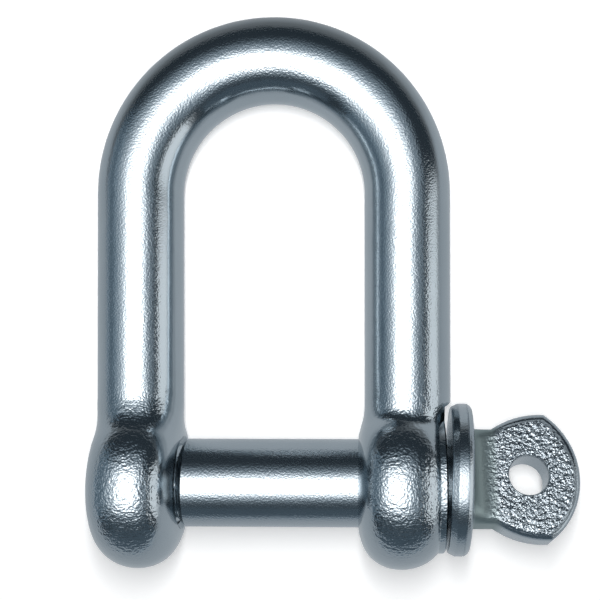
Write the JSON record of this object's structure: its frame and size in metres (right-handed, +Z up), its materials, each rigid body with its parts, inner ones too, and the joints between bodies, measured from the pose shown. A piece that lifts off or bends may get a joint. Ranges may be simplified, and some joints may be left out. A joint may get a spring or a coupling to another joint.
{
  "type": "chain joining shackle",
  "caption": "Zinc-plated forged dee shackle: a round-bar bow with upset ears, closed by a screw pin with a collar and a flattened eye head, for joining chain.",
  "frame": {"origin": "on the pin axis, half-way between the inner faces of the ears", "axes": "+X along the pin towards its head, +Y towards the crown of the bow, +Z up from the floor that the shackle lies on, resting on both ears and the crown"},
  "size_m": [0.0665, 0.0757, 0.0232],
  "materials": {
    "plated_bow": "bright electro-zinc plate over fine forged grain",
    "plated_pin": "bright electro-zinc plate, hammered grain on the flattened head"
  },
  "bodies": {
    "bow": {"shackle_bow": "plated_bow"},
    "pin": {"screw_pin": "plated_pin"}
  },
  "joints": [
    {"name": "pin_draw", "type": "slide", "parent": "bow", "child": "pin", "axis": [1, 0, 0], "range_m": [0, 0.051]}
  ]
}
